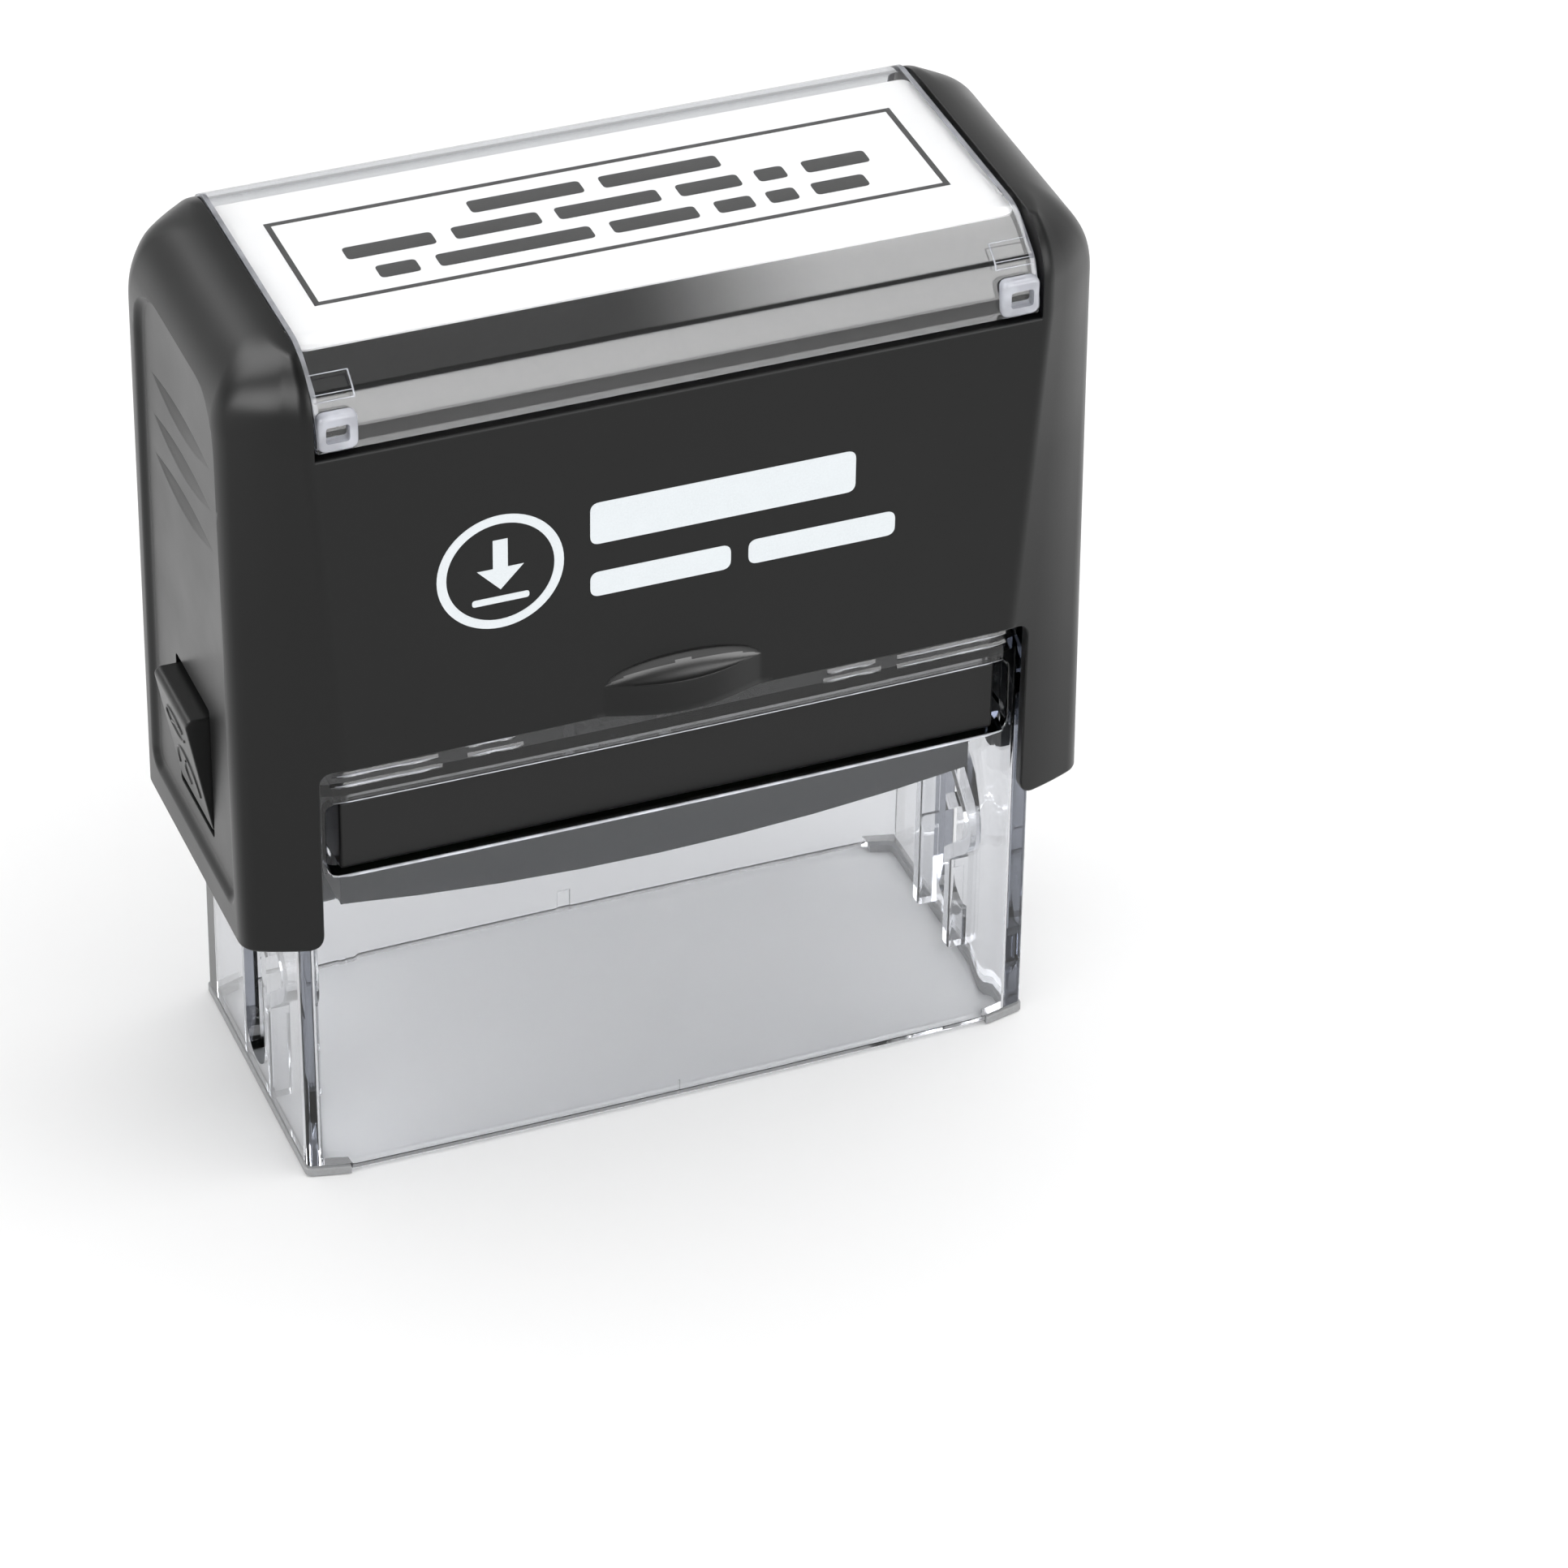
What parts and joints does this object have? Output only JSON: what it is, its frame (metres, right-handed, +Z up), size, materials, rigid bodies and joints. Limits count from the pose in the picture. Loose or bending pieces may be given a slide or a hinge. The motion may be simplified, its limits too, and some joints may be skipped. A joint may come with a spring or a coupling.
{
  "type": "self inking stamp",
  "caption": "Self inking stamp: a black case slides down a clear base frame and flips the rubber die from its ink pad to the paper.",
  "frame": {"origin": "on the surface that the stamp stands on, under the middle of the whole stamp", "axes": "+X along the stamp's length, to the right seen from the front; +Y from the front to the back; +Z up. The front, where the ink pad slides out, faces -Y"},
  "size_m": [0.0868, 0.0376, 0.09],
  "materials": {
    "clear_plastic": "clear, slightly smoky, polished, blue-grey at the edges",
    "clear_window": "clear, polished",
    "case_black": "near-black satin moulded plastic with a fine spark-eroded grain",
    "button_black": "black satin moulded plastic",
    "tray_black": "black satin moulded plastic",
    "inner_black": "dark grey satin moulded plastic",
    "spring_steel": "drawn spring wire",
    "pin_steel": "turned steel",
    "card": "matt white card, printed in black",
    "ink_felt": "felt soaked in black ink",
    "foam": "closed-cell foam with adhesive on both sides",
    "rubber": "laser-engraved stamp rubber",
    "foot_grey": "soft translucent grey anti-slip strip"
  },
  "bodies": {
    "frame": {"frame_body": "clear_plastic", "foot_left": "foot_grey", "foot_right": "foot_grey", "return_spring": "spring_steel"},
    "case": {"case_shell": "case_black", "inner_yoke": "inner_black", "spring_seat": "inner_black", "index_card": "card", "axle_pin_left": "pin_steel", "axle_pin_right": "pin_steel"},
    "die_carrier": {"die_holder": "inner_black", "die_cushion": "foam", "rubber_die": "rubber", "cam_pin_left": "pin_steel", "cam_pin_right": "pin_steel"},
    "ink_pad": {"pad_tray": "tray_black", "ink_felt": "ink_felt"},
    "window": {"window_cover": "clear_window"},
    "lock_left": {"lock_button_left": "button_black"},
    "lock_right": {"lock_button_right": "button_black"}
  },
  "joints": [
    {"name": "press", "type": "slide", "parent": "frame", "child": "case", "axis": [0, 0, -1], "range_m": [0, 0.0245], "stiffness_N_per_m": 350, "springref_m": -0.012, "deforming": ["return_spring"]},
    {"name": "flip", "type": "hinge", "parent": "case", "child": "die_carrier", "pos_m": [0, 0.00085, 0.03], "axis": [-1, 0, 0], "range_deg": [0, 180]},
    {"name": "pad_slide", "type": "slide", "parent": "frame", "child": "ink_pad", "axis": [0, -1, 0], "range_m": [0, 0.042]},
    {"name": "window_lift", "type": "slide", "parent": "case", "child": "window", "axis": [0, 0, 1], "range_m": [0, 0.012]},
    {"name": "lock_left_push", "type": "hinge", "parent": "case", "child": "lock_left", "pos_m": [-0.0386, 0.00085, 0.035], "axis": [0, 1, 0], "range_deg": [0, 10]},
    {"name": "lock_right_push", "type": "hinge", "parent": "case", "child": "lock_right", "pos_m": [0.0386, 0.00085, 0.035], "axis": [0, -1, 0], "range_deg": [0, 10]}
  ],
  "couplings": [
    {"joint": "flip", "follows": "press", "rad_per_m": 128.23}
  ]
}
